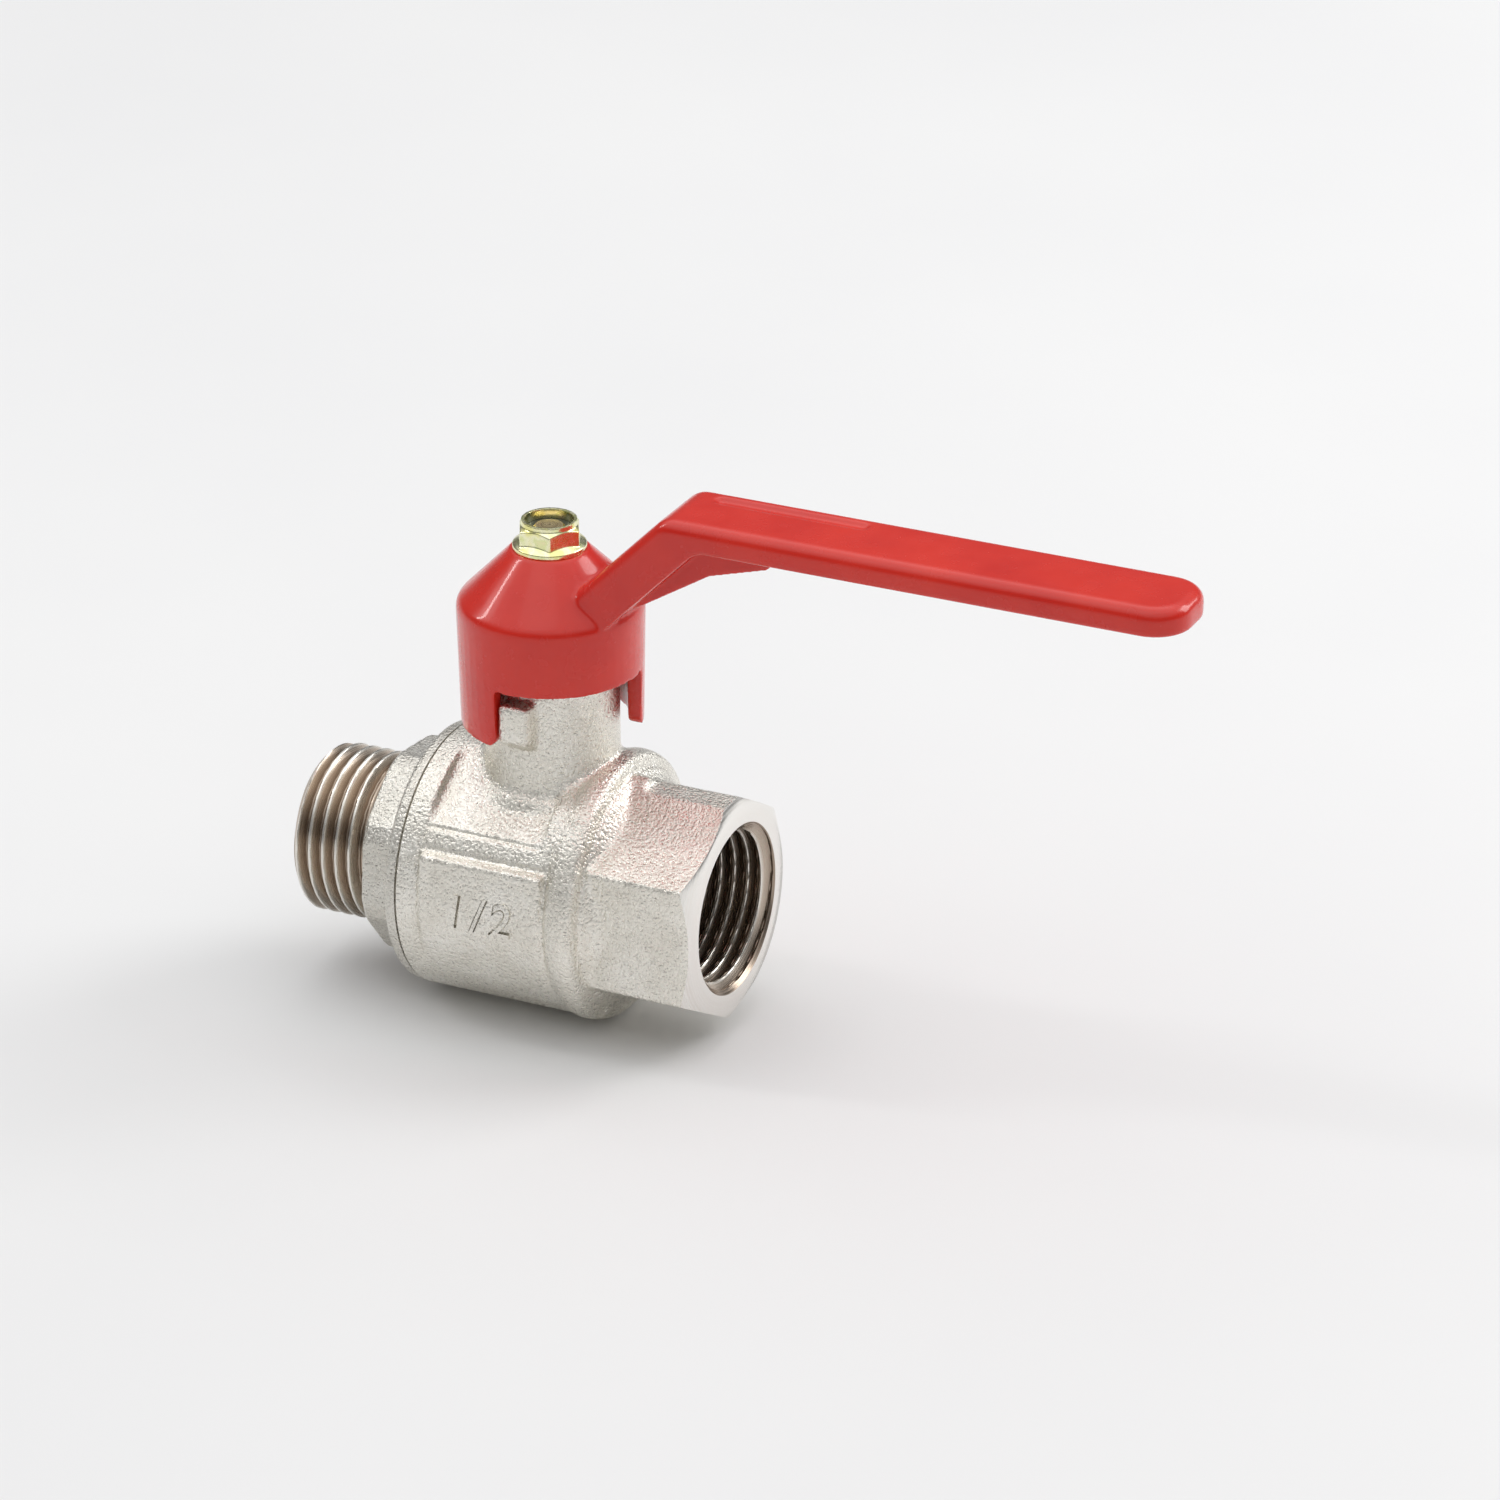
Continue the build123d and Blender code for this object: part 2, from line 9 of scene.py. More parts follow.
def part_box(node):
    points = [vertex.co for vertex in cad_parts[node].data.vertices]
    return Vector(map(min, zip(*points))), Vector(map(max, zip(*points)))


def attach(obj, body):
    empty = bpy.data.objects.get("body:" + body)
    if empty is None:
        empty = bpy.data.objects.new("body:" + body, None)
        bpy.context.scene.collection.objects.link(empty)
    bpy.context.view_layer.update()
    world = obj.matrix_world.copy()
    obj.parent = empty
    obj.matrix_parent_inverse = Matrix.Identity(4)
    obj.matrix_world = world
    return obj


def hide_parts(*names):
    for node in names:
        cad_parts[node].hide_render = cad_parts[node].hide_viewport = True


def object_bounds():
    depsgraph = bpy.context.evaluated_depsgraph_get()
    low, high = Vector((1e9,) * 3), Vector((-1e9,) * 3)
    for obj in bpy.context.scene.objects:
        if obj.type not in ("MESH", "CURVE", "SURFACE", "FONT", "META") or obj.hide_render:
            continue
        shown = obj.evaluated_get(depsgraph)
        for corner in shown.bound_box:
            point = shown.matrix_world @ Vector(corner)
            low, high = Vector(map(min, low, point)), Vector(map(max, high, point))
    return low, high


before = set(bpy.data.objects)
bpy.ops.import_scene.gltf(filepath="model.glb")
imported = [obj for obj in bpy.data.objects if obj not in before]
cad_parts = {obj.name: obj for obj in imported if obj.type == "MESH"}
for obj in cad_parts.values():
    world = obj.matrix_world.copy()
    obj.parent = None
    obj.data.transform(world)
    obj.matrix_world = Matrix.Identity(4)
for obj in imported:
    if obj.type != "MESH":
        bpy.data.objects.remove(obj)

MM = 0.001
scene = bpy.context.scene
cad_box = [list(corner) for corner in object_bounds()]


# ---------------------------------------------------------------- sizes, in millimetres
def reach(node):
    """Lowest and highest corner of a CAD node, in millimetres."""
    low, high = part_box(node)
    return low / MM, high / MM


body_low, body_high = reach("valve_body")
adapter_low, adapter_high = reach("end_adapter")
seat_low, seat_high = reach("seat_ring_outlet")
packing_low, packing_high = reach("packing_ring_lower")
washer_high = reach("thrust_washer")[1]
gland_high = reach("gland_ring")[1]
nut_low = reach("lever_nut")[0]

# G 1/2 pipe thread
pitch = 1.814
major_r = 20.955 / 2
minor_r = 18.631 / 2

bore_r = 7.5
play = 0.2

mouth_x = body_high.x
seam_x = body_low.x
nose_x = adapter_low.x
spigot_x = adapter_high.x
hex_flats = 26.0
hex_top_flat = 13.9
mouth_face_r = 12.7
chamfer_angle = radians(30)
countersink_r = minor_r + 1.3
socket_deep = 12.2
socket_x = mouth_x - socket_deep
barrel_r = 16.3
joint_r = 13.65
joint_land_r = barrel_r - 1.1
cavity_r = 12.5
seat_r = seat_high.y
seat_back = seat_high.x
flange_r = adapter_high.y
flange_thick = 1.75
octagon_long = 4.8
octagon_x = seam_x - flange_thick
relief_x = octagon_x - octagon_long
octagon_corner_r = 13.6
octagon_turn = 17.0
octagon_turned_r = 13.2
neck_r = 8.1
neck_core_r = 7.0
neck_bore_r = 6.4
neck_top_z = body_high.z
stem_hole_r = 4.05
pad_y = -15.85
facet_r, facet_tilt = 15.15, radians(58)
facet_start, facet_end = seam_x + 2.95, 4.6
collar_line_x = 10.4


# ---------------------------------------------------------------- finishes
class Finish:
    """A procedural material: its shader and small helpers that add nodes to it."""

    def __init__(self, name, colour, metallic, roughness):
        self.material = bpy.data.materials.new(name)
        self.material.use_nodes = True
        self.tree = self.material.node_tree
        self.shader = self.tree.nodes["Principled BSDF"]
        self.place = self.tree.nodes.new("ShaderNodeTexCoord").outputs["Object"]
        self.shader.inputs["Base Color"].default_value = (*colour, 1)
        self.shader.inputs["Metallic"].default_value = metallic
        self.shader.inputs["Roughness"].default_value = roughness
        self.material.diffuse_color = (*colour, 1)

    def noise(self, size_mm, detail=3.0, where=None):
        """Cloudy value from 0 to 1, whose spots are about size_mm across."""
        node = self.tree.nodes.new("ShaderNodeTexNoise")
        node.inputs["Scale"].default_value = 1000 / size_mm
        node.inputs["Detail"].default_value = detail
        self.tree.links.new(where or self.place, node.inputs["Vector"])
        return node.outputs["Fac"]

    def both(self, value, other, share):
        """Two values in one, the other having the given share."""
        node = self.tree.nodes.new("ShaderNodeMix")
        node.inputs["Factor"].default_value = share
        self.tree.links.new(value, node.inputs["A"])
        self.tree.links.new(other, node.inputs["B"])
        return node.outputs["Result"]

    def radius(self, axis):
        """Distance from the given axis, in metres, and the place along it."""
        split = self.tree.nodes.new("ShaderNodeSeparateXYZ")
        self.tree.links.new(self.place, split.inputs["Vector"])
        across = self.tree.nodes.new("ShaderNodeCombineXYZ")
        for name in "XYZ":
            if name != axis:
                self.tree.links.new(split.outputs[name], across.inputs[name])
        length = self.tree.nodes.new("ShaderNodeVectorMath")
        length.operation = "LENGTH"
        self.tree.links.new(across.outputs["Vector"], length.inputs[0])
        return length.outputs["Value"], split.outputs[axis]

    def turning_lines(self, axis):
        """Fine tool marks round the given axis."""
        out, along = self.radius(axis)
        join = self.tree.nodes.new("ShaderNodeCombineXYZ")
        self.tree.links.new(out, join.inputs["X"])
        self.tree.links.new(along, join.inputs["Y"])
        return self.noise(0.22, 2.0, join.outputs["Vector"])

    def spread(self, value, low, high, start=0.3, end=0.7):
        """The value, brought from start..end to low..high."""
        node = self.tree.nodes.new("ShaderNodeMapRange")
        node.inputs["From Min"].default_value = start
        node.inputs["From Max"].default_value = end
        node.inputs["To Min"].default_value = low
        node.inputs["To Max"].default_value = high
        self.tree.links.new(value, node.inputs["Value"])
        return node.outputs["Result"]

    def tint(self, value, *stops):
        """Colour of the surface, from (place, colour) stops along the value."""
        node = self.tree.nodes.new("ShaderNodeValToRGB")
        ramp = node.color_ramp
        while len(ramp.elements) < len(stops):
            ramp.elements.new(0.5)
        for element, (place, colour) in zip(ramp.elements, stops):
            element.position = place
            element.color = (*colour, 1)
        self.tree.links.new(value, node.inputs["Fac"])
        self.tree.links.new(node.outputs["Color"], self.shader.inputs["Base Color"])

    def gloss(self, value, low, high):
        """Roughness of the surface, from low to high along the value."""
        self.tree.links.new(self.spread(value, low, high), self.shader.inputs["Roughness"])

    def relief(self, *layers):
        """Bumps, as (value, height in millimetres) layers, one on another."""
        normal = None
        for value, height in layers:
            bump = self.tree.nodes.new("ShaderNodeBump")
            bump.inputs["Strength"].default_value = 1.0
            bump.inputs["Distance"].default_value = height * MM
            self.tree.links.new(value, bump.inputs["Height"])
            if normal:
                self.tree.links.new(normal, bump.inputs["Normal"])
            normal = bump.outputs["Normal"]
        self.tree.links.new(normal, self.shader.inputs["Normal"])


def blasted_finish(name, shade):
    """Nickel over a shot-blasted forging. shade is its brightness."""
    finish = Finish(name, [shade * part for part in (0.86, 0.82, 0.75)], 1.0, 0.32)
    grit = finish.noise(0.36, 2.0)
    stops = (
        (0.34, (0.78, 0.745, 0.67)),
        (0.5, (0.86, 0.83, 0.755)),
        (0.66, (0.95, 0.925, 0.865)),
    )
    finish.tint(
        finish.both(finish.noise(5.0), grit, 0.5),
        *((place, [shade * part for part in colour]) for place, colour in stops),
    )
    finish.gloss(grit, 0.2, 0.42)
    finish.relief((finish.noise(2.2, 2.0), 0.04), (grit, 0.24))
    return finish


blasted = blasted_finish("blasted_nickel", 1.0)
# The blasted nickel at 0.84 brightness: painted shade for the end adapter, standing in for its
# dimmer reflection
shaded_nickel = blasted_finish("shaded_nickel", 0.84)

turned_nickel = Finish("turned_nickel", (0.86, 0.84, 0.8), 1.0, 0.2)
lines = turned_nickel.turning_lines("X")
turned_nickel.tint(lines, (0.3, (0.82, 0.79, 0.74)), (0.7, (0.92, 0.90, 0.87)))
turned_nickel.gloss(lines, 0.16, 0.3)
turned_nickel.relief((lines, 0.01))


def thread_finish(name, root, crest):
    """Cut thread: a painted highlight on its crests, and darker brown towards its roots, partly
    painted shade and partly a brown stain.
    """
    finish = Finish(name, (0.6, 0.53, 0.46), 1.0, 0.26)
    out, _ = finish.radius("X")
    depth = finish.spread(out, 0.0, 1.0, root * MM, crest * MM)
    # Colour by radius: the bright crest stop is a painted highlight, and the dark brown root
    # stops are painted shade over a brown stain
    finish.tint(
        finish.both(depth, finish.turning_lines("X"), 0.12),
        (0.1, (0.36, 0.29, 0.23)),
        (0.7, (0.55, 0.47, 0.39)),
        (0.92, (0.84, 0.81, 0.75)),
    )
    lines = finish.turning_lines("X")
    finish.gloss(lines, 0.2, 0.34)
    finish.relief((lines, 0.012))
    return finish


outer_thread = thread_finish("outer_thread_nickel", minor_r, major_r)
inner_thread = thread_finish("inner_thread_nickel", major_r, minor_r)

red = Finish("red_paint", (0.67, 0.02, 0.01), 0.0, 0.24)
red.tint(red.noise(9.0), (0.3, (0.63, 0.017, 0.009)), (0.7, (0.72, 0.028, 0.014)))
red.gloss(red.noise(2.5), 0.2, 0.3)
red.relief((red.noise(4.5, 1.0), 0.05), (red.noise(0.9, 1.0), 0.003))
red.shader.inputs["Specular IOR Level"].default_value = 0.35
red.shader.inputs["Coat Weight"].default_value = 0.4
red.shader.inputs["Coat Roughness"].default_value = 0.05

zinc = Finish("yellow_zinc", (0.75, 0.7, 0.45), 1.0, 0.25)
zinc.tint(
    zinc.noise(2.2, 2.0),
    (0.34, (0.86, 0.82, 0.34)),
    (0.48, (0.93, 0.91, 0.62)),
    (0.58, (0.78, 0.82, 0.42)),
    (0.70, (0.90, 0.78, 0.50)),
)
zinc.gloss(zinc.noise(0.8), 0.16, 0.32)
zinc.relief((zinc.noise(0.7, 1.0), 0.012))

chrome = Finish("chrome_ball", (0.8, 0.81, 0.83), 1.0, 0.06)
chrome.tint(chrome.noise(5.0), (0.3, (0.78, 0.79, 0.81)), (0.7, (0.84, 0.85, 0.87)))
chrome.gloss(chrome.noise(2.0), 0.04, 0.1)

brass = Finish("plain_brass", (0.72, 0.58, 0.33), 1.0, 0.24)
lines = brass.turning_lines("Z")
brass.tint(lines, (0.3, (0.66, 0.50, 0.26)), (0.7, (0.78, 0.64, 0.38)))
brass.gloss(lines, 0.18, 0.34)
brass.relief((lines, 0.01))

nylon = Finish("dark_nylon", (0.05, 0.055, 0.05), 0.0, 0.5)
nylon.tint(nylon.noise(1.0), (0.3, (0.035, 0.04, 0.03)), (0.7, (0.07, 0.075, 0.055)))
nylon.relief((nylon.noise(0.4), 0.02))

ptfe = Finish("white_ptfe", (0.86, 0.86, 0.84), 0.0, 0.45)
ptfe.tint(ptfe.noise(3.0), (0.3, (0.82, 0.82, 0.79)), (0.7, (0.90, 0.90, 0.88)))
ptfe.relief((ptfe.noise(0.5), 0.01))

rubber = Finish("black_rubber", (0.02, 0.02, 0.02), 0.0, 0.6)
rubber.tint(rubber.noise(2.0), (0.3, (0.014, 0.014, 0.014)), (0.7, (0.032, 0.031, 0.03)))
rubber.relief((rubber.noise(0.3), 0.01))


# ---------------------------------------------------------------- ways of making a piece
crease = radians(38)


def placed(name, mesh, *finishes):
    """A finished piece from its mesh, shaded smooth with its crisp edges kept."""
    piece = bpy.data.objects.new(name, mesh)
    scene.collection.objects.link(piece)
    mesh.materials.clear()
    for finish in finishes:
        mesh.materials.append(finish.material)
    mesh.shade_smooth()
    mesh.set_sharp_from_angle(angle=crease)
    return piece


def closed_mesh(name, bm):
    """A mesh from a bmesh: doubles merged and faces outward."""
    bmesh.ops.remove_doubles(bm, verts=bm.verts, dist=1e-7)
    bmesh.ops.dissolve_degenerate(bm, edges=bm.edges, dist=1e-8)
    bmesh.ops.recalc_face_normals(bm, faces=bm.faces)
    mesh = bpy.data.meshes.new(name)
    bm.to_mesh(mesh)
    bm.free()
    return mesh


def lathe(name, outline, axis="X", steps=144):
    """A closed solid of revolution. The outline is (along the axis, radius) points."""
    bm = bmesh.new()
    rings = []
    for step in range(steps):
        angle = 2 * pi * step / steps
        ring = []
        for along, radius in outline:
            y, z = radius * cos(angle), radius * sin(angle)
            point = (along, y, z) if axis == "X" else (y, z, along)
            ring.append(bm.verts.new(Vector(point) * MM))
        rings.append(ring)
    count = len(outline)
    for step in range(steps):
        near, far = rings[step], rings[(step + 1) % steps]
        for k in range(count):
            after = (k + 1) % count
            bm.faces.new((near[k], near[after], far[after], far[k]))
    return closed_mesh(name, bm)


def polygon(sides, corner_r, first):
    """Corners of a regular polygon, the first at that many degrees."""
    angles = [radians(first + 360 / sides * corner) for corner in range(sides)]
    return [(corner_r * cos(angle), corner_r * sin(angle)) for angle in angles]


def prism(name, corners, start, end):
    """A closed solid along X, from its (y, z) corners in order."""
    bm = bmesh.new()
    ends = [
        [bm.verts.new(Vector((x, y, z)) * MM) for y, z in corners] for x in (start, end)
    ]
    bm.faces.new(ends[0])
    bm.faces.new(ends[1])
    for k in range(len(corners)):
        after = (k + 1) % len(corners)
        bm.faces.new((ends[0][k], ends[0][after], ends[1][after], ends[1][k]))
    return closed_mesh(name, bm)


def cad_copy(node):
    """The CAD node's shape as a closed mesh of its own."""
    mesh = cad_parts[node].data
    bm = bmesh.new()
    bm.from_mesh(mesh)
    bmesh.ops.remove_doubles(bm, verts=bm.verts, dist=1e-6)
    copy = bpy.data.meshes.new(node + "_copy")
    bm.to_mesh(copy)
    bm.free()
    return copy


def evaluated(piece):
    """What the piece's modifiers make of it, as a plain mesh."""
    bpy.context.view_layer.update()
    depsgraph = bpy.context.evaluated_depsgraph_get()
    return bpy.data.meshes.new_from_object(piece.evaluated_get(depsgraph))


def worn(mesh, passes, share=None):
    """Wears the mesh round. share is how much of the wear each point, in millimetres, takes."""
    count = len(mesh.vertices)
    points = np.empty(3 * count)
    mesh.vertices.foreach_get("co", points)
    points = points.reshape(count, 3)
    ends = np.empty(2 * len(mesh.edges), dtype=np.int64)
    mesh.edges.foreach_get("vertices", ends)
    one, other = ends[0::2], ends[1::2]
    beside = np.bincount(ends, minlength=count)
    pull = 0.5 * (share(points / MM) if share else np.ones(count))
    for _ in range(passes):
        for axis in range(3):
            place = points[:, axis]
            total = np.bincount(one, place[other], count)
            total += np.bincount(other, place[one], count)
            points[:, axis] = place + pull * (total / beside - place)
    mesh.vertices.foreach_set("co", points.ravel())
    mesh.update()


def fade(value, start, end):
    """1 at start, falling evenly to 0 at end."""
    return np.clip((value - end) / (start - end), 0, 1)


def groove(distance, half_width):
    """Round-bottomed section of a hollow: 1 on its line, 0 at half_width and beyond."""
    return 0.5 + 0.5 * np.cos(pi * np.clip(np.abs(distance) / half_width, 0, 1))


def pressed(mesh, depth):
    """Presses the mesh towards the X axis by the depth, in millimetres, at each point."""
    points = np.empty(3 * len(mesh.vertices))
    mesh.vertices.foreach_get("co", points)
    points = points.reshape(-1, 3)
    out = np.hypot(points[:, 1], points[:, 2])
    scale = 1 - depth(points / MM) * MM / np.maximum(out, MM)
    points[:, 1] *= scale
    points[:, 2] *= scale
    mesh.vertices.foreach_set("co", points.ravel())
    mesh.update()


def one_skin(name, solids, grain, passes, cuts, root_passes=0, root_share=None, hollows=None):
    """One closed skin over overlapping solids, its edges worn round, then machined by the cuts.

    grain is the size of its facets in millimetres and passes how far the wear goes.
    root_passes more are given where root_share says, to blend a root. hollows gives the
    depth of shallow hollows pressed in its surface.
    """
    bm = bmesh.new()
    for solid in solids:
        bm.from_mesh(solid)
    joined = bpy.data.meshes.new(name + "_solids")
    bm.to_mesh(joined)
    bm.free()
    rough = bpy.data.objects.new(name + "_rough", joined)
    scene.collection.objects.link(rough)
    skin = rough.modifiers.new("skin", "REMESH")
    skin.mode = "VOXEL"
    skin.voxel_size = grain * MM
    blank = evaluated(rough)
    worn(blank, passes)
    if root_passes:
        worn(blank, root_passes, root_share)
    if hollows:
        pressed(blank, hollows)
    rough.modifiers.clear()
    rough.data = blank
    tools = []
    for cut in cuts:
        tool = bpy.data.objects.new(name + "_tool", cut)
        scene.collection.objects.link(tool)
        boolean = rough.modifiers.new("cut", "BOOLEAN")
        boolean.operation = "DIFFERENCE"
        boolean.solver = "MANIFOLD"
        boolean.object = tool
        tools.append(tool)
    mesh = evaluated(rough)
    for helper in [rough, *tools]:
        bpy.data.objects.remove(helper)
    return mesh


def turned_faces(mesh, is_turned):
    """Gives the second finish to the faces whose middle, as (x, radius), is_turned accepts."""
    for face in mesh.polygons:
        middle = face.center / MM
        face.material_index = int(is_turned(middle.x, hypot(middle.y, middle.z)))


# ---------------------------------------------------------------- pipe threads
THREAD_INPUTS = (
    "Start", "Length", "Root radius", "Crest radius", "Wall radius", "Pitch",
    "End radius", "End side", "Run-out",
)
# Where the flank leaves the root and where it meets the crest, 0 to 1 across half a pitch
root_flat, crest_flat = 0.12, 0.86


def pipe_thread_tree():
    """Geometry Nodes tree of a closed sleeve with a right-handed thread round the X axis."""
    tree = bpy.data.node_groups.new("pipe_thread", "GeometryNodeTree")
    tree.interface.new_socket("Sleeve", in_out="OUTPUT", socket_type="NodeSocketGeometry")
    for label in THREAD_INPUTS:
        tree.interface.new_socket(label, in_out="INPUT", socket_type="NodeSocketFloat")
    tree.interface.new_socket("Rows", in_out="INPUT", socket_type="NodeSocketInt")
    tree.interface.new_socket("Around", in_out="INPUT", socket_type="NodeSocketInt")
    tree.interface.new_socket("Finish", in_out="INPUT", socket_type="NodeSocketMaterial")
    given = tree.nodes.new("NodeGroupInput").outputs

    def link(value, socket):
        if isinstance(value, bpy.types.NodeSocket):
            tree.links.new(value, socket)
        else:
            socket.default_value = value

    def maths(operation, *values):
        node = tree.nodes.new("ShaderNodeMath")
        node.operation = operation
        for value, socket in zip(values, node.inputs):
            link(value, socket)
        return node.outputs["Value"]

    def rise(value, start, end, climb="SMOOTHSTEP"):
        """Climb from 0 to 1 as the value goes from start to end."""
        node = tree.nodes.new("ShaderNodeMapRange")
        node.interpolation_type = climb
        link(value, node.inputs["Value"])
        link(start, node.inputs["From Min"])
        link(end, node.inputs["From Max"])
        return node.outputs["Result"]

    grid = tree.nodes.new("GeometryNodeMeshGrid")
    link(given["Rows"], grid.inputs["Vertices X"])
    link(given["Around"], grid.inputs["Vertices Y"])
    spot = tree.nodes.new("ShaderNodeSeparateXYZ")
    position = tree.nodes.new("GeometryNodeInputPosition").outputs["Position"]
    tree.links.new(position, spot.inputs["Vector"])
    turn = maths("ADD", spot.outputs["Y"], 0.5)
    last = maths("SUBTRACT", given["Rows"], 1.0)
    row = maths("MULTIPLY", maths("ADD", spot.outputs["X"], 0.5), last)

    # The first row and the last two lie on the plain wall, the others on the thread
    share = maths("DIVIDE", maths("SUBTRACT", row, 1.0), maths("SUBTRACT", last, 3.0))
    share = maths("MINIMUM", maths("MAXIMUM", share, 0.0), 1.0)
    share = maths("MULTIPLY", share, maths("LESS_THAN", row, maths("SUBTRACT", last, 0.5)))
    on_wall = maths(
        "MAXIMUM",
        maths("LESS_THAN", row, 0.5),
        maths("GREATER_THAN", row, maths("SUBTRACT", last, 1.5)),
    )
    along = maths("MULTIPLY", share, given["Length"])

    # Height of the thread form, 0 at the root and 1 at the crest
    phase = maths("SUBTRACT", maths("DIVIDE", along, given["Pitch"]), turn)
    wave = maths("MULTIPLY", maths("FRACT", phase), 2.0)
    wave = maths("ABSOLUTE", maths("SUBTRACT", wave, 1.0))
    form = rise(wave, root_flat, crest_flat, "LINEAR")
    from_end = maths(
        "ADD",
        maths("MULTIPLY", along, maths("SUBTRACT", 1.0, given["End side"])),
        maths("MULTIPLY", maths("SUBTRACT", given["Length"], along), given["End side"]),
    )
    to_shoulder = maths("SUBTRACT", given["Length"], from_end)
    half_run_out = maths("MULTIPLY", given["Run-out"], 0.5)
    form = maths("MULTIPLY", form, rise(to_shoulder, half_run_out, given["Run-out"]))
    depth = maths("SUBTRACT", given["Crest radius"], given["Root radius"])
    radius = maths("ADD", given["Root radius"], maths("MULTIPLY", depth, form))

    # Cone at the open end: it trims the crests of an outer thread and opens an inner one
    side = maths("SIGN", depth)
    cone = maths("ADD", maths("MULTIPLY", side, given["End radius"]), from_end)
    radius = maths("MULTIPLY", side, maths("MINIMUM", maths("MULTIPLY", side, radius), cone))
    radius = maths(
        "ADD",
        maths("MULTIPLY", radius, maths("SUBTRACT", 1.0, on_wall)),
        maths("MULTIPLY", given["Wall radius"], on_wall),
    )

    angle = maths("MULTIPLY", turn, 2 * pi)
    point = tree.nodes.new("ShaderNodeCombineXYZ")
    link(maths("ADD", given["Start"], along), point.inputs["X"])
    link(maths("MULTIPLY", radius, maths("COSINE", angle)), point.inputs["Y"])
    link(maths("MULTIPLY", radius, maths("SINE", angle)), point.inputs["Z"])
    bent = tree.nodes.new("GeometryNodeSetPosition")
    tree.links.new(grid.outputs["Mesh"], bent.inputs["Geometry"])
    tree.links.new(point.outputs["Vector"], bent.inputs["Position"])
    joined = tree.nodes.new("GeometryNodeMergeByDistance")
    joined.inputs["Distance"].default_value = 1e-6
    realized = tree.nodes.new("GeometryNodeRealizeInstances")
    finished = tree.nodes.new("GeometryNodeSetMaterial")
    out = tree.nodes.new("NodeGroupOutput")
    tree.links.new(bent.outputs["Geometry"], joined.inputs["Geometry"])
    tree.links.new(joined.outputs["Geometry"], realized.inputs["Geometry"])
    tree.links.new(realized.outputs["Geometry"], finished.inputs["Geometry"])
    tree.links.new(given["Finish"], finished.inputs["Material"])
    tree.links.new(finished.outputs["Geometry"], out.inputs["Sleeve"])
    return tree


thread_tree = pipe_thread_tree()
socket_run_out, adapter_run_out = 1.6, 2.4
nose_chamfer = 0.9


def threaded_sleeve(name, finish, sizes, rows, around=160):
    """A finished pipe thread. The sizes are in millimetres and in the tree's order.

    End side is 0 where the open end is at the start and 1 where it is at the far end.
    """
    holder = bpy.data.objects.new(name + "_holder", bpy.data.meshes.new(name + "_holder"))
    scene.collection.objects.link(holder)
    modifier = holder.modifiers.new("thread", "NODES")
    modifier.node_group = thread_tree
    socket = {
        item.name: item.identifier
        for item in thread_tree.interface.items_tree
        if item.in_out == "INPUT"
    }
    for label, value in zip(THREAD_INPUTS, sizes):
        modifier[socket[label]] = value * (1.0 if label == "End side" else MM)
    modifier[socket["Rows"]] = rows
    modifier[socket["Around"]] = around + 1
    modifier[socket["Finish"]] = finish.material
    mesh = evaluated(holder)
    bpy.data.objects.remove(holder)
    bm = bmesh.new()
    bm.from_mesh(mesh)
    return placed(name, closed_mesh(name, bm), finish)


# ---------------------------------------------------------------- valve body
# The bores are filled first and opened again once the skin is worn round
filled_end = mouth_x - 9
filled_r = hex_top_flat - 2
forging = [
    cad_copy("valve_body"),
    lathe("pipe_core", [
        (seam_x - 0.9, 0),
        (seam_x - 0.9, barrel_r),
        (seam_x + 1, barrel_r),
        (seam_x + 1, joint_r + 0.3),
        (filled_end, joint_r - 1.5),
        (filled_end, filled_r),
        (mouth_x - 0.5, filled_r),
        (mouth_x - 0.5, 0),
    ]),
    lathe("neck_core", [
        (0, 0), (0, neck_core_r), (neck_top_z, neck_core_r), (neck_top_z, 0),
    ], "Z"),
]

# Wrench hexagon, its top corner forged flat
hexagon = polygon(6, hex_flats / 2 / cos(radians(30)), 30)
after_top, apex, before_top = hexagon[:3]
cut_back = (apex[1] - hex_top_flat) / (apex[1] - after_top[1])
flattened = [
    after_top,
    (apex[0] + (after_top[0] - apex[0]) * cut_back, hex_top_flat),
    (apex[0] + (before_top[0] - apex[0]) * cut_back, hex_top_flat),
    *hexagon[2:],
]
forging.append(prism("hexagon_end", flattened, mouth_x - 6, mouth_x + 1.3))

# Raised panel on each side, for the size mark: it starts at its top edge and follows the
# barrel down until it runs out
panel_start, panel_end, panel_top = -10.2, 6.0, 7.0
panel_r = 16.45
panel_back_y = -12.8
panel_steps = 12
corner_r, corner_angle = hypot(pad_y, panel_top), atan2(panel_top, -pad_y)
front = [(pad_y, panel_top)]
first_angle = corner_angle - acos(panel_r / corner_r)
last_angle, last_r = radians(-24), barrel_r - 0.1
for step in range(panel_steps + 1):
    share = step / panel_steps
    angle = first_angle + (last_angle - first_angle) * share
    radius = panel_r + (last_r - panel_r) * share**3
    front.append((-radius * cos(angle), radius * sin(angle)))
panel = [(panel_back_y, panel_top), *front, (panel_back_y, front[-1][1])]
forging.append(prism("near_panel", panel, panel_start, panel_end))
forging.append(prism("far_panel", [(-y, z) for y, z in panel], panel_start, panel_end))

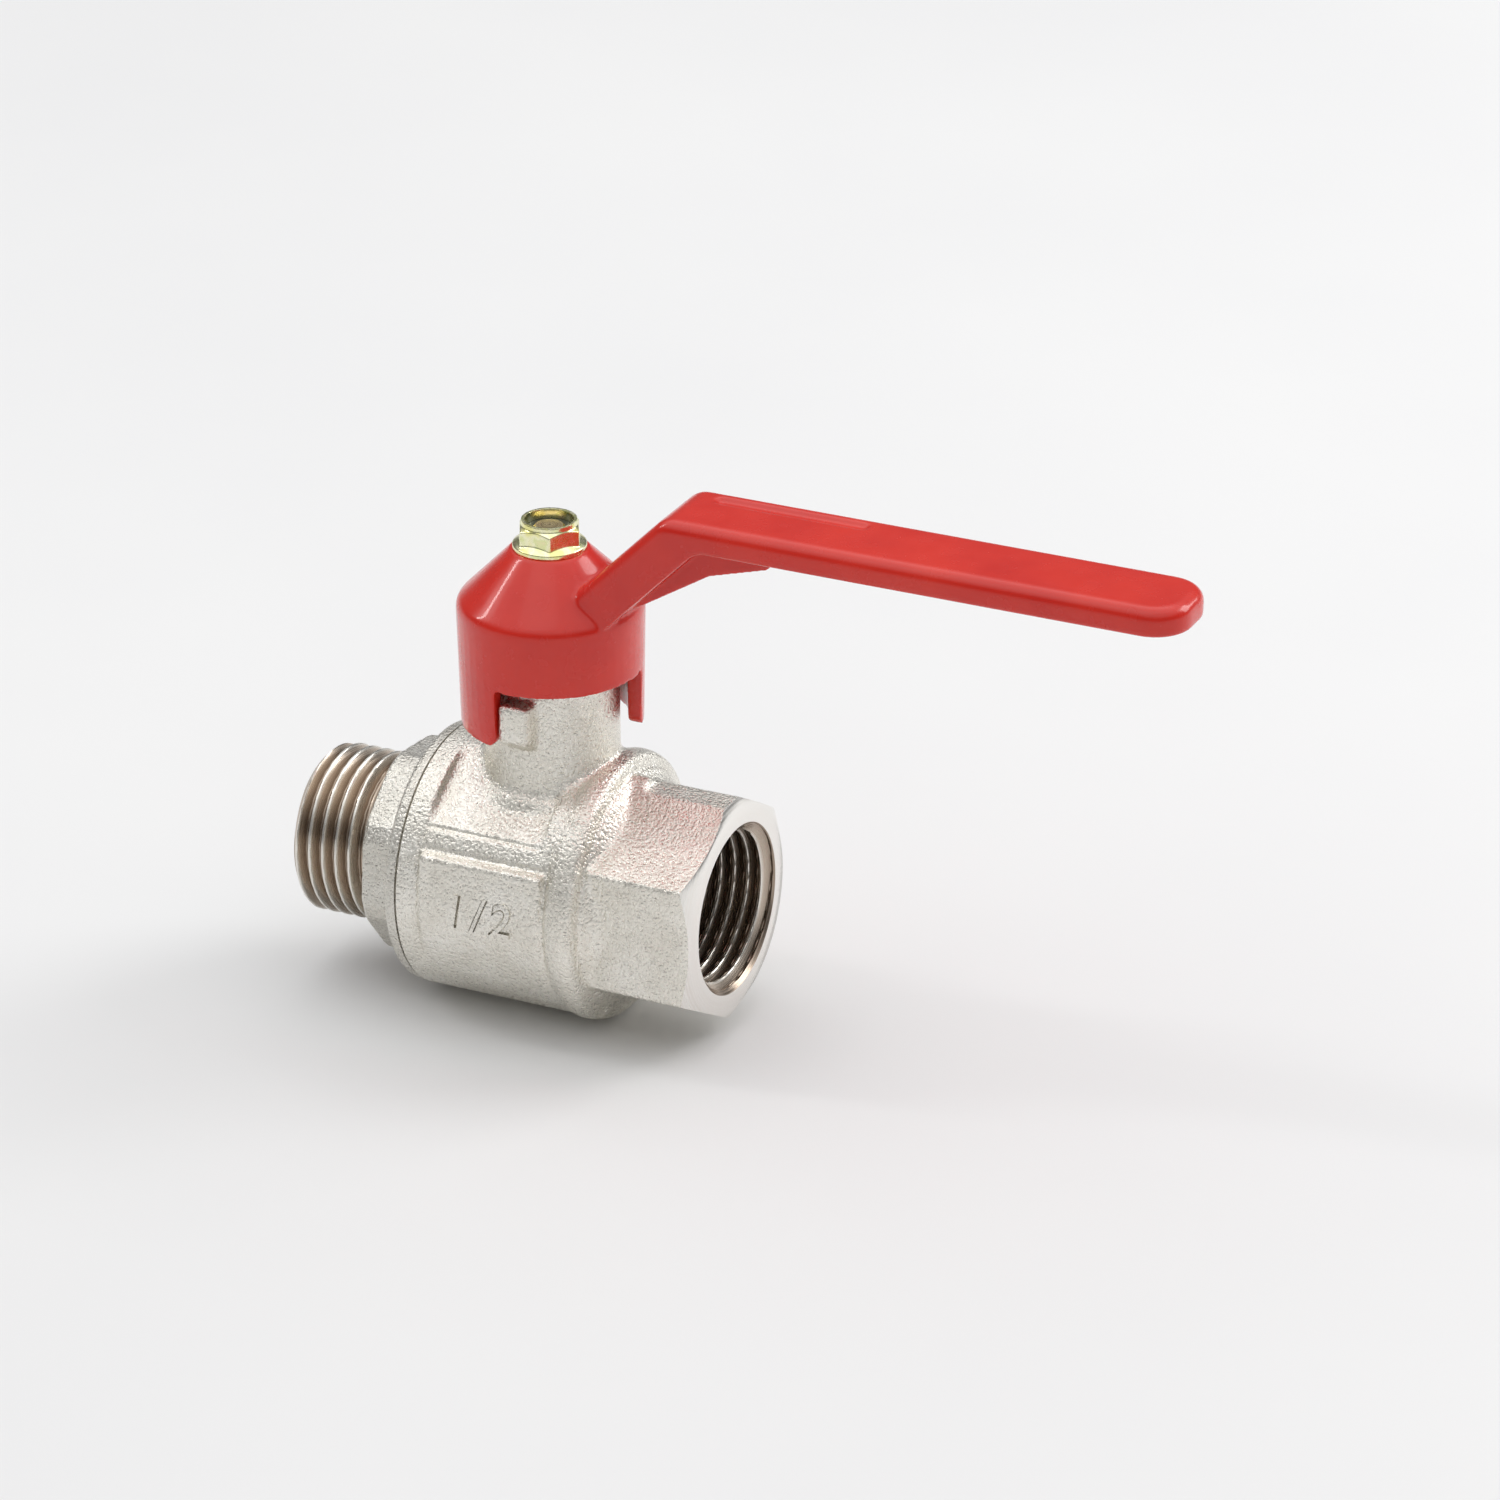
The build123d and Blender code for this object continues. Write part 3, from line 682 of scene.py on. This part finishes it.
# Everything bored and faced along the pipe, and the chamfer on the hexagon's corners
chamfer_depth = 6.0
chamfer_run = chamfer_depth * tan(chamfer_angle)
bore_tool = lathe("bore_tool", [
    (seam_x - 3, barrel_r + 3),
    (seam_x + play, barrel_r + 3),
    (seam_x + play, joint_land_r),
    (seam_x, joint_land_r),
    (seam_x, joint_r),
    (spigot_x + play, joint_r),
    (spigot_x + play, cavity_r),
    (seat_low.x + play, cavity_r),
    (seat_low.x + play, seat_r),
    (seat_back, seat_r),
    (seat_back, bore_r),
    (socket_x, bore_r),
    (socket_x, countersink_r),
    (mouth_x, countersink_r),
    (mouth_x, mouth_face_r),
    (mouth_x - chamfer_run, mouth_face_r + chamfer_depth),
    (mouth_x + 3, mouth_face_r + chamfer_depth),
    (mouth_x + 3, 0),
    (seam_x - 3, 0),
], steps=180)
stem_tool = lathe("stem_tool", [
    (bore_r, 0),
    (bore_r, washer_high.y + play),
    (washer_high.z, washer_high.y + play),
    (washer_high.z, stem_hole_r),
    (packing_low.z, stem_hole_r),
    (packing_low.z, packing_high.y),
    (gland_high.z, packing_high.y),
    (gland_high.z, neck_bore_r),
    (neck_top_z + 2, neck_bore_r),
    (neck_top_z + 2, 0),
], "Z", steps=96)


def on_turned_body(x, radius):
    """Whether a place is on the mouth's face, the corner chamfer or anything bored."""
    if x > mouth_x - 0.02 or radius < countersink_r + 0.02:
        return True
    cone_x = mouth_x - (radius - mouth_face_r) * tan(chamfer_angle)
    return radius > mouth_face_r and abs(x - cone_x) < 0.03


collar_foot_x = 6.4
lug_half_width = 2.4
lug_low_z, lug_top_z = 18, 25.8
lug_wear = 0.45


def neck_root(points):
    """Share of wear where the neck stands on the barrel, and less of it on the stop lugs."""
    out = np.hypot(points[:, 0], points[:, 1])
    aside = np.abs(points[:, 1])
    barrel_z = np.sqrt(np.maximum(barrel_r**2 - aside**2, 0))
    facet_z = (facet_r - aside * cos(facet_tilt)) / sin(facet_tilt)
    above = np.abs(points[:, 2] - np.minimum(barrel_z, facet_z))
    root = fade(above, 1.2, 2.4) * fade(out, neck_r + 1.8, neck_r + 3.2)
    root *= fade(points[:, 0], collar_foot_x, collar_foot_x + 1)
    lug = fade(np.abs(points[:, 0]), lug_half_width, lug_half_width + 0.6)
    lug *= fade(out, neck_r + 0.6, neck_r) * fade(points[:, 2], lug_top_z, lug_top_z + 0.8)
    return np.maximum(root, lug_wear * lug * (points[:, 2] > lug_low_z))


# Size mark on the near panel: figures standing in a shallow well that follows their outline
mark_wide, mark_tall = 8.2, 4.5
mark_x, mark_z = -1.8, 0.75
mark_lean = 0.16
mark_front, mark_back = 0.19, -0.65
well_front, well_back = 1.0, -0.5


def figures(name, fatter, front, back):
    """The size mark as a solid between two distances outside the panel, in millimetres.

    fatter is how much its strokes are widened on each side, as a share of their height.
    """
    words = bpy.data.curves.new(name, "FONT")
    words.body = "1/2"
    words.extrude = 0.5
    words.offset = fatter
    words.shear = mark_lean
    words.space_character = 1.3
    words.resolution_u = 6
    writing = bpy.data.objects.new(name, words)
    scene.collection.objects.link(writing)
    mesh = evaluated(writing)
    bpy.data.objects.remove(writing)
    bm = bmesh.new()
    bm.from_mesh(mesh)
    mesh = closed_mesh(name, bm)
    wide = [corner.co.x for corner in mesh.vertices]
    tall = [corner.co.y for corner in mesh.vertices]
    low_x, high_x, low_y, high_y = min(wide), max(wide), min(tall), max(tall)
    for corner in mesh.vertices:
        across = (corner.co.x - (low_x + high_x) / 2) * mark_wide / (high_x - low_x)
        up = (corner.co.y - (low_y + high_y) / 2) * mark_tall / (high_y - low_y) + mark_z
        out = front if corner.co.z > 0 else back
        panel_y = -((panel_r**2 - up**2) ** 0.5)
        corner.co = Vector((across + mark_x, panel_y - out, up)) * MM
    return mesh


# Depth of each die line, in millimetres
beside_panel_deep, over_panel_deep = 0.3, 0.2
under_facet_deep, beside_facet_deep = 0.28, 0.25
behind_collar_deep = 0.5
facet_foot = facet_tilt - acos(facet_r / barrel_r)


def die_lines(points):
    """Depth of the hollows that the die left beside the panels, the facets and the collar."""
    x = points[:, 0]
    turn = np.arctan2(points[:, 2], np.abs(points[:, 1]))
    out = np.hypot(points[:, 1], points[:, 2])
    beside_panel = np.maximum(
        groove(x - panel_start + 0.35, 0.7), groove(x - panel_end - 0.3, 0.6),
    )
    beside_panel *= fade(np.abs(turn - radians(4)), radians(24), radians(36))
    over_panel = groove((turn - corner_angle) * barrel_r - 0.9, 0.6)
    over_panel *= fade(x, panel_end, panel_end + 0.8) * fade(x, panel_start, panel_start - 0.8)
    under_facet = groove((turn - facet_foot) * barrel_r, 0.45)
    under_facet *= fade(x, facet_end, facet_end + 0.5) * fade(x, facet_start, facet_start - 0.5)
    beside_facet = groove(x - facet_end, 0.5)
    beside_facet *= fade(np.abs(turn - facet_tilt), radians(18), radians(24))
    behind_collar = groove(x - collar_line_x, 0.6) * (turn > radians(-60))
    depth = beside_panel_deep * beside_panel
    for hollow, deep in (
        (over_panel, over_panel_deep),
        (under_facet, under_facet_deep),
        (beside_facet, beside_facet_deep),
        (behind_collar, behind_collar_deep),
    ):
        depth = np.maximum(depth, deep * hollow)
    on_neck = fade(np.hypot(x, points[:, 1]), neck_r + 1.2, neck_r + 2.2) * (points[:, 2] > 0)
    return depth * (1 - on_neck) * (out > cavity_r + 0.6)


well = figures("mark_well", 0.03, well_front, well_back)
body_mesh = one_skin(
    "forged_body", forging, grain=0.3, passes=3, cuts=[bore_tool, stem_tool, well],
    root_passes=22, root_share=neck_root, hollows=die_lines,
)
forged_body = placed("forged_body", body_mesh, blasted, turned_nickel)
turned_faces(body_mesh, on_turned_body)
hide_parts("valve_body")
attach(forged_body, "housing")

socket_thread = threaded_sleeve(
    "socket_thread", inner_thread,
    (socket_x, mouth_x - socket_x, major_r, minor_r, countersink_r, pitch, countersink_r, 1.0,
     socket_run_out),
    rows=190,
)
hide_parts("valve_body")
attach(socket_thread, "housing")

figure_solid = figures("size_mark", 0.004, mark_front, mark_back)
size_mark = placed("size_mark", figure_solid, blasted)
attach(size_mark, "housing")

# ---------------------------------------------------------------- end adapter
octagon = polygon(8, octagon_corner_r, -90 + octagon_turn)
octagon_chamfer_r = 12.8
flange_round = 0.8
flange = [(octagon_x, 0), (octagon_x, flange_r - flange_round)]
for step in range(1, 6):
    angle = radians(90 * step / 6)
    flange.append((
        octagon_x + flange_round * (1 - cos(angle)),
        flange_r - flange_round * (1 - sin(angle)),
    ))
flange += [(octagon_x + flange_round, flange_r), (seam_x + 0.8, flange_r), (seam_x + 0.8, 0)]

# Tools that turn the octagon's corners, bore it, and face the flange with its seam
octagon_turning = lathe("octagon_turning", [
    (relief_x - 1, octagon_chamfer_r),
    (relief_x, octagon_chamfer_r),
    (relief_x + 0.5, octagon_turned_r),
    (octagon_x - 0.05, octagon_turned_r),
    (octagon_x - 0.05, flange_r + 2),
    (relief_x - 1, flange_r + 2),
])
core_r = 9.0
adapter_bore = lathe("adapter_bore", [
    (relief_x - 2, 0), (relief_x - 2, core_r), (seam_x + 3, core_r), (seam_x + 3, 0),
])
seam_gap = 0.15
adapter_face = lathe("adapter_face", [
    (seam_x, 0),
    (seam_x, joint_land_r),
    (seam_x - seam_gap, joint_land_r),
    (seam_x - seam_gap, barrel_r + 3),
    (seam_x + 3, barrel_r + 3),
    (seam_x + 3, 0),
])
wrench_mesh = one_skin(
    "adapter_wrench",
    [prism("octagon", octagon, relief_x, octagon_x + 0.5), lathe("flange", flange)],
    grain=0.22, passes=2, cuts=[octagon_turning, adapter_bore, adapter_face],
)
# Its finish is the blasted nickel painted darker, as painted shade
adapter_wrench = placed("adapter_wrench", wrench_mesh, shaded_nickel)
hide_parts("end_adapter")
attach(adapter_wrench, "housing")

spigot_r = joint_r - 0.05
ring_groove_r = spigot_r - 1.45
ring_groove_end = seam_x + 1.6
sleeve_r = core_r + 0.2
adapter_core = placed("adapter_core", lathe("adapter_core", [
    (relief_x + 0.1, bore_r),
    (relief_x + 0.1, sleeve_r),
    (seam_x + 0.01, sleeve_r),
    (seam_x + 0.01, ring_groove_r),
    (ring_groove_end, ring_groove_r),
    (ring_groove_end, spigot_r),
    (spigot_x, spigot_r),
    (spigot_x, seat_r),
    (-seat_back, seat_r),
    (-seat_back, bore_r),
]), turned_nickel)
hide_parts("end_adapter")
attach(adapter_core, "housing")

adapter_thread = threaded_sleeve(
    "adapter_thread", outer_thread,
    (nose_x, relief_x + 0.12 - nose_x, minor_r, major_r, bore_r, pitch, major_r - nose_chamfer,
     0.0, adapter_run_out),
    rows=180,
)
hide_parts("end_adapter")
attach(adapter_thread, "housing")

# ---------------------------------------------------------------- lever and its nut
# The hub's hole is filled while the paint's skin is made, and drilled again after it
hub_plug_r, hub_hole_r = 4.5, 4.1
hub_hole_deep = 8.7
lever_seat_z = nut_low.z - hub_hole_deep
hub_plug = lathe("hub_plug", [
    (lever_seat_z, 0), (lever_seat_z, hub_plug_r), (nut_low.z, hub_plug_r), (nut_low.z, 0),
], "Z")
stem_hole = lathe("stem_hole", [
    (lever_seat_z - 1, 0),
    (lever_seat_z - 1, hub_hole_r),
    (nut_low.z + 1, hub_hole_r),
    (nut_low.z + 1, 0),
], "Z", steps=64)
lever_mesh = one_skin(
    "painted_lever", [cad_copy("lever_handle"), hub_plug], grain=0.27, passes=2,
    cuts=[stem_hole],
)
painted_lever = placed("painted_lever", lever_mesh, red)
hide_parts("lever_handle")
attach(painted_lever, "lever")

nut_mesh = one_skin("hex_nut", [cad_copy("lever_nut")], grain=0.1, passes=2, cuts=[])
hex_nut = placed("hex_nut", nut_mesh, zinc)
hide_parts("lever_nut")
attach(hex_nut, "lever")

# ---------------------------------------------------------------- finish of every CAD node
node_finish = {
    "ball": chrome,
    "stem": brass,
    "gland_ring": brass,
    "packing_nut": brass,
    "lock_insert": nylon,
    "seat_ring_inlet": ptfe,
    "seat_ring_outlet": ptfe,
    "thrust_washer": ptfe,
    "packing_ring_lower": ptfe,
    "packing_ring_upper": ptfe,
    "joint_o_ring": rubber,
    "stem_o_ring_lower": rubber,
    "stem_o_ring_upper": rubber,
    "valve_body": blasted,
    "end_adapter": outer_thread,
    "lever_handle": red,
    "lever_nut": zinc,
}
for node, finish in node_finish.items():
    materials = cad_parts[node].data.materials
    materials.clear()
    materials.append(finish.material)

# ---------------------------------------------------------------- floor, light and camera
pale = Finish("pale_floor", (0.8, 0.8, 0.8), 0.0, 0.7)
pale.tint(pale.noise(120.0), (0.3, (0.80, 0.80, 0.80)), (0.7, (0.83, 0.83, 0.825)))
floor_z = cad_box[0][2] - 0.0001
floor_half = 3
bm = bmesh.new()
for x, y in ((-1, -1), (1, -1), (1, 1), (-1, 1)):
    bm.verts.new((x * floor_half, y * floor_half, floor_z))
bm.faces.new(bm.verts)
floor_mesh = bpy.data.meshes.new("floor")
bm.to_mesh(floor_mesh)
bm.free()
floor = placed("floor", floor_mesh, pale)

world = bpy.data.worlds.new("studio")
world.use_nodes = True
sky = world.node_tree.nodes["Background"]
sky.inputs["Strength"].default_value = 1.0
heading = world.node_tree.nodes.new("ShaderNodeTexCoord")
height = world.node_tree.nodes.new("ShaderNodeSeparateXYZ")
ceiling = world.node_tree.nodes.new("ShaderNodeValToRGB")
# Brightness of the studio from the horizon to straight overhead, as (height, level) stops
levels = ((0.0, 0.46), (0.12, 0.14), (0.42, 0.18), (0.72, 1.0))
while len(ceiling.color_ramp.elements) < len(levels):
    ceiling.color_ramp.elements.new(0.5)
for element, (place, level) in zip(ceiling.color_ramp.elements, levels):
    element.position = place
    element.color = (level, level, 1.01 * level, 1)
world.node_tree.links.new(heading.outputs["Generated"], height.inputs["Vector"])
world.node_tree.links.new(height.outputs["Z"], ceiling.inputs["Fac"])
world.node_tree.links.new(ceiling.outputs["Color"], sky.inputs["Color"])
scene.world = world


def softbox(name, spot, target, wide, tall, power):
    """A soft rectangular studio lamp at spot, in metres, turned to the target."""
    lamp = bpy.data.lights.new(name, "AREA")
    lamp.shape = "RECTANGLE"
    lamp.size = wide
    lamp.size_y = tall
    lamp.energy = power
    holder = bpy.data.objects.new(name, lamp)
    holder.location = spot
    holder.rotation_mode = "QUATERNION"
    holder.rotation_quaternion = (Vector(target) - Vector(spot)).to_track_quat("-Z", "Y")
    scene.collection.objects.link(holder)


valve_middle = (0.02, 0.0, 0.015)
softbox("key_left", (-0.66, -0.12, 0.5), valve_middle, 0.05, 0.3, 0.7)
softbox("right_back", (0.6, 0.6, 0.5), valve_middle, 0.5, 0.5, 3.4)
softbox("overhead", (-0.1, 0.1, 0.9), valve_middle, 1.2, 1.2, 2.0)

# Camera: how it is turned, its distance from the ball's centre in millimetres, and where in a
# square view that centre stands, in the same units as the view's side. view_scale is the
# number of those units to a millimetre at the ball
azimuth, elevation, roll = radians(25.612), radians(25.047), radians(-0.217)
distance, view_scale = 756.0, 8.259
view_side = 1500
ball_across, ball_down = 555.68, 870.59
offset_x = (ball_across - view_side / 2) / view_scale
offset_y = (view_side / 2 - ball_down) / view_scale
back = Vector((sin(azimuth) * cos(elevation), -cos(azimuth) * cos(elevation), sin(elevation)))
level = Vector((cos(azimuth), sin(azimuth), 0))
up = back.cross(level)
right = level * cos(roll) + up * sin(roll)
top = -level * sin(roll) + up * cos(roll)
eye = back * distance - right * offset_x - top * offset_y
lens = bpy.data.cameras.new("studio_camera")
lens.sensor_width = 36.0
lens.lens = lens.sensor_width * view_scale * distance / view_side
lens.clip_start, lens.clip_end = 0.01, 20.0
camera = bpy.data.objects.new("studio_camera", lens)
aim = Matrix((right, top, back)).transposed().to_4x4()
camera.matrix_world = Matrix.Translation(eye * MM) @ aim
scene.collection.objects.link(camera)
scene.camera = camera
scene.view_settings.view_transform = "Standard"
